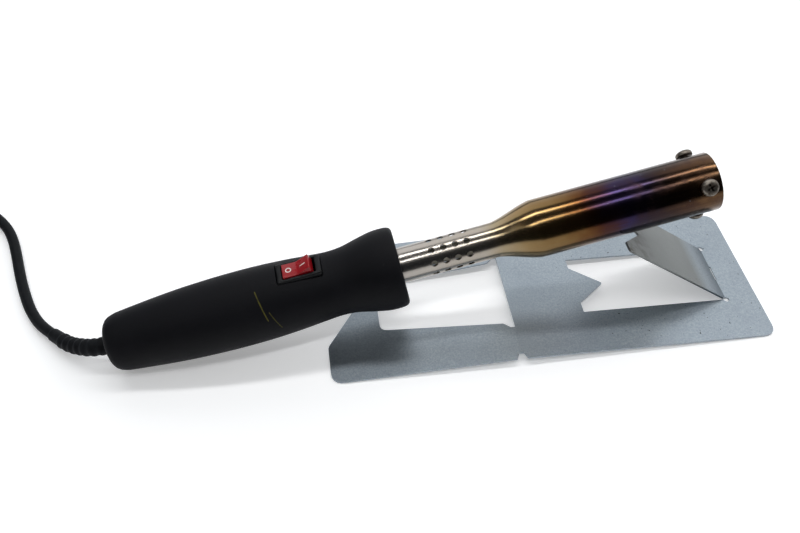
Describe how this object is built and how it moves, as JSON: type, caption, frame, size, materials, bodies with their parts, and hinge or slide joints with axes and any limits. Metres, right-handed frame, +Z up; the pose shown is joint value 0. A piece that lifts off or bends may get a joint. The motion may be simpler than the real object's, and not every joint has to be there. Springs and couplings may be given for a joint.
{
  "type": "soldering iron stand with soldering iron",
  "caption": "Folded sheet-steel soldering iron rest with a notched flap, holding a heavy mains soldering iron with rocker switch, perforated neck and clamp screws, no bit fitted.",
  "frame": {"origin": "on the table, under the middle of the box round the rest and the iron without its cord", "axes": "+X along the rest towards the iron's open end, +Y to the far side, +Z up"},
  "size_m": [0.5151, 0.1711, 0.0783],
  "materials": {
    "galvanised_sheet": "dull zinc-coated sheet",
    "soft_touch": "soft-touch coated",
    "black_plastic": "satin",
    "red_plastic": "satin",
    "tinted_steel": "heat-tinted, finely brushed",
    "stainless": "bright",
    "screw_steel": "oxidised",
    "brass": "plain",
    "ceramic": "unglazed ceramic",
    "mica": "mica laminate",
    "glass_sleeve": "glass-fibre braid",
    "rubber": "matt",
    "brown_wire": "satin",
    "blue_wire": "satin",
    "earth_wire": "green with yellow"
  },
  "bodies": {
    "stand": {"stand_sheet": "galvanised_sheet", "cord_lead": "rubber", "cord_coil": "rubber", "cord_tie": "black_plastic", "cord_tail": "rubber", "plug_body": "rubber", "plug_pin_1": "brass", "plug_pin_2": "brass", "plug_earth_clip_1": "brass", "plug_earth_clip_2": "brass"},
    "iron": {"handle_shell": "soft_touch", "switch_housing": "black_plastic", "switch_tab_line": "brass", "switch_tab_load": "brass", "heater_tube": "tinted_steel", "mount_flange": "stainless", "flange_screw_1": "screw_steel", "flange_screw_2": "screw_steel", "flange_screw_3": "screw_steel", "bit_socket": "stainless", "mica_sleeve_inner": "mica", "heater_winding": "stainless", "mica_sleeve_outer": "mica", "rear_insulator": "ceramic", "heater_lead_1": "glass_sleeve", "heater_lead_2": "glass_sleeve", "terminal_block": "ceramic", "terminal_screw_1": "brass", "terminal_screw_2": "brass", "terminal_screw_3": "brass", "terminal_screw_4": "brass", "core_line": "brown_wire", "core_neutral": "blue_wire", "core_earth": "earth_wire", "switch_wire": "brown_wire", "cord_crimp": "screw_steel", "strain_relief": "rubber", "cord_entry": "rubber"},
    "rocker": {"switch_rocker": "red_plastic", "switch_plunger": "ceramic"},
    "clamp_1": {"clamp_screw_1": "screw_steel"},
    "clamp_2": {"clamp_screw_2": "screw_steel"},
    "clamp_3": {"clamp_screw_3": "screw_steel"}
  },
  "joints": [
    {"name": "iron_lift", "type": "slide", "parent": "stand", "child": "iron", "axis": [0, 0, 1], "range_m": [0, 0.06]},
    {"name": "switch_rock", "type": "hinge", "parent": "iron", "child": "rocker", "pos_m": [-0.06913, -0.00833, 0.04436], "axis": [-0.0685, 0.9976, 0], "range_deg": [0, 24]},
    {"name": "clamp_screw_1_travel", "type": "slide", "parent": "iron", "child": "clamp_1", "axis": [-0.0549, -0.7893, 0.6115], "range_m": [-0.001, 0.002]},
    {"name": "clamp_screw_2_travel", "type": "slide", "parent": "iron", "child": "clamp_2", "axis": [-0.1281, 0.9232, 0.3624], "range_m": [-0.001, 0.002]},
    {"name": "clamp_screw_3_travel", "type": "slide", "parent": "iron", "child": "clamp_3", "axis": [0.1829, -0.1339, -0.974], "range_m": [-0.002, 0.002]}
  ]
}
